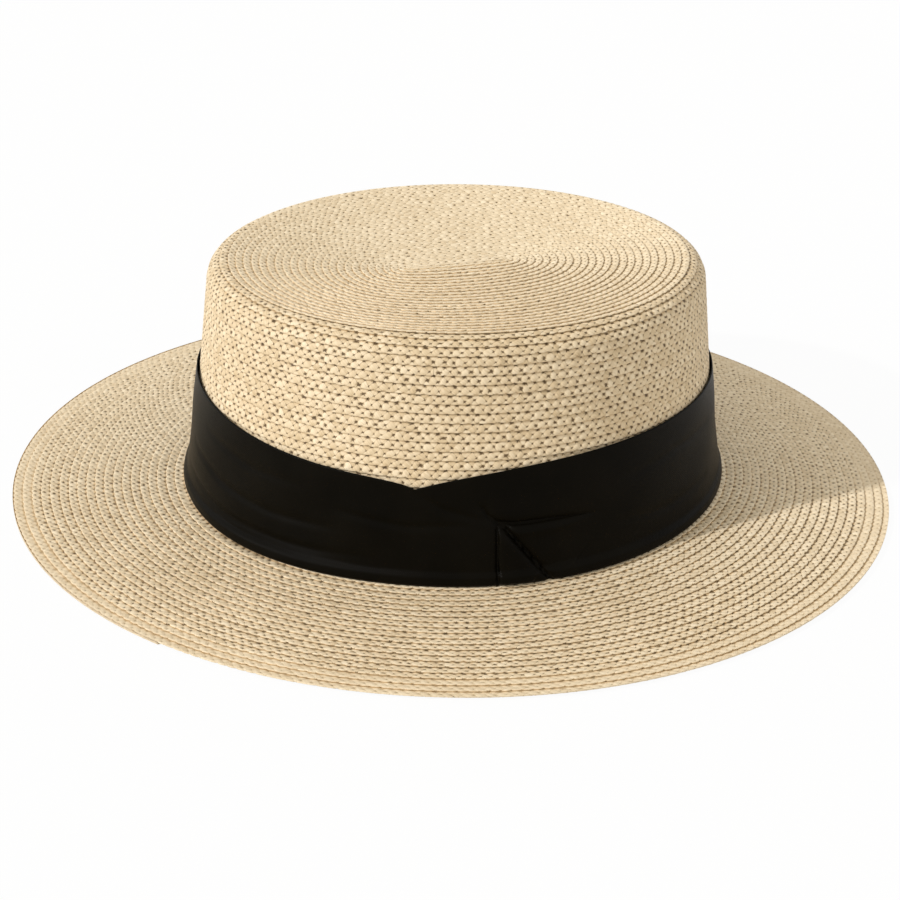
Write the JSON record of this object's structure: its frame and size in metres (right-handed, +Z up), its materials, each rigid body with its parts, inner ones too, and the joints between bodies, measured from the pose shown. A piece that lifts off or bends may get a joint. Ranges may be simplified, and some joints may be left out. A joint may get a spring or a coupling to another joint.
{
  "type": "straw sun hat",
  "caption": "Wide-brim straw sun hat: flat-topped crown and level brim of lapped spiral braid, black folded cloth band with a V-shaped dip, sweatband inside.",
  "frame": {"origin": "centre of the brim's edge, on the surface that the hat rests on", "axes": "+Z up through the crown; -X towards the hat's front; the band's tuck is on the -Y side"},
  "size_m": [0.324, 0.3106, 0.088],
  "materials": {
    "straw": "flat plaited paper straw, warm beige, matt with a faint sheen along each strand",
    "straw_edge": "the same plaited straw, closed up and worn a little smoother along the brim's edge",
    "band_cloth": "soft plain-woven black cloth with a slight sheen and loose creases",
    "sweatband_cloth": "ribbed cotton ribbon, light tan, matt"
  },
  "bodies": {
    "root": {"tip_start_fold": "straw", "tip_braid": "straw", "crown_wall_braid": "straw", "brim_braid": "straw", "brim_edge_braid": "straw_edge", "hat_band": "band_cloth", "hat_band_tuck": "band_cloth", "sweatband": "sweatband_cloth", "sweatband_join": "sweatband_cloth"}
  },
  "joints": []
}
